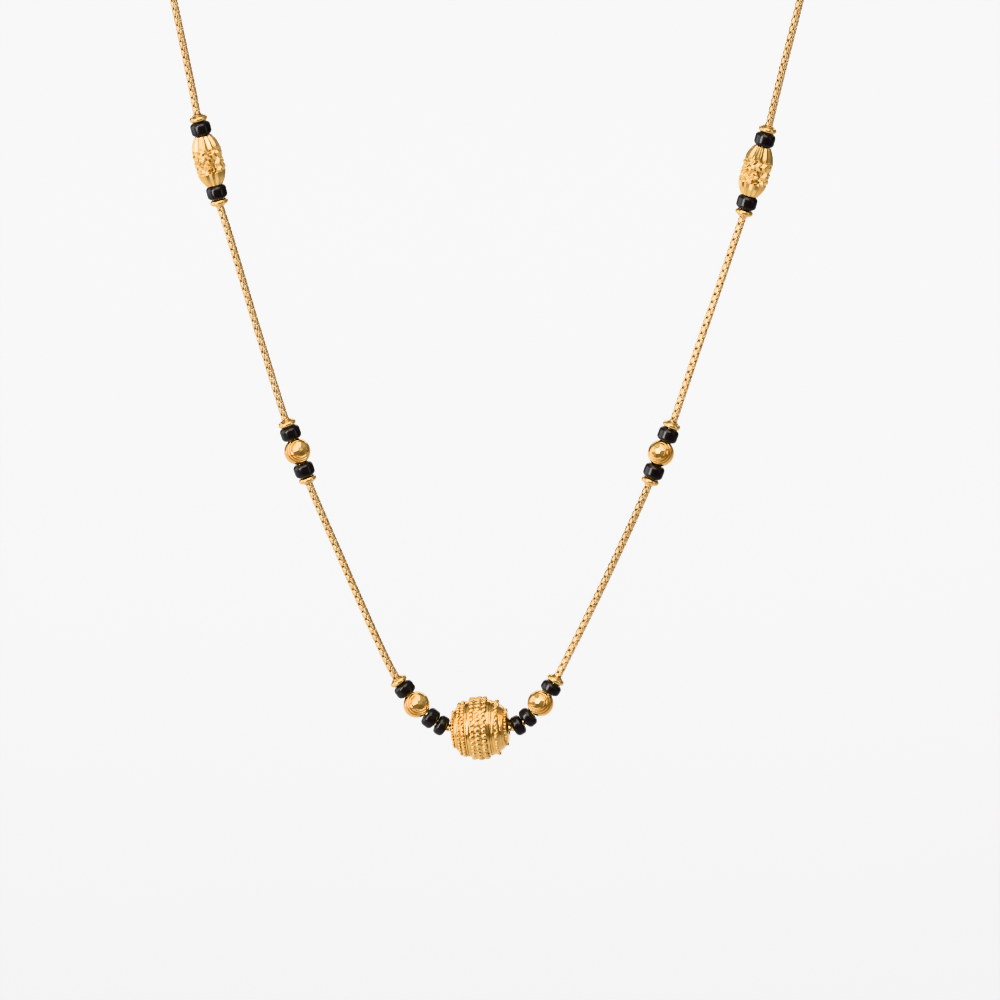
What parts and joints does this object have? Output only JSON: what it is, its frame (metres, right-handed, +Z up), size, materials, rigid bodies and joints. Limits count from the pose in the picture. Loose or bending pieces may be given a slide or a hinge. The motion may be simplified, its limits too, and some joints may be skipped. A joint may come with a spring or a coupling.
{
  "type": "mangalsutra",
  "caption": "Worn gold box-chain mangalsutra with groups of black glass beads, gold balls, fluted barrels and a ridged centre ball at its lowest point",
  "frame": {"origin": "at the nape, on the neck side of the clasp, where the worn necklace hangs", "axes": "+Z up, +X to the wearer's left, which is the right of the front view, +Y back from the neck; the front faces -Y"},
  "size_m": [0.1025, 0.0914, 0.1529],
  "materials": {
    "gold": "polished",
    "cast_gold": "polished, with granulated ridges",
    "chain_gold": "polished",
    "black_glass": "glossy"
  },
  "bodies": {
    "root": {"centre_ball": "cast_gold", "left_bead_1": "black_glass", "left_bead_2": "black_glass", "left_ball_1": "gold", "left_bead_3": "black_glass", "left_cap_1": "gold", "left_cap_2": "gold", "left_bead_4": "black_glass", "left_ball_2": "gold", "left_bead_5": "black_glass", "left_cap_3": "gold", "left_cap_4": "gold", "left_bead_6": "black_glass", "left_barrel": "gold", "left_bead_7": "black_glass", "left_cap_5": "gold", "right_bead_1": "black_glass", "right_bead_2": "black_glass", "right_ball_1": "gold", "right_bead_3": "black_glass", "right_cap_1": "gold", "right_cap_2": "gold", "right_bead_4": "black_glass", "right_ball_2": "gold", "right_bead_5": "black_glass", "right_cap_3": "gold", "right_cap_4": "gold", "right_bead_6": "black_glass", "right_barrel": "gold", "right_bead_7": "black_glass", "right_cap_5": "gold", "left_chain": "chain_gold", "right_chain": "chain_gold", "clasp": "gold"}
  },
  "joints": []
}
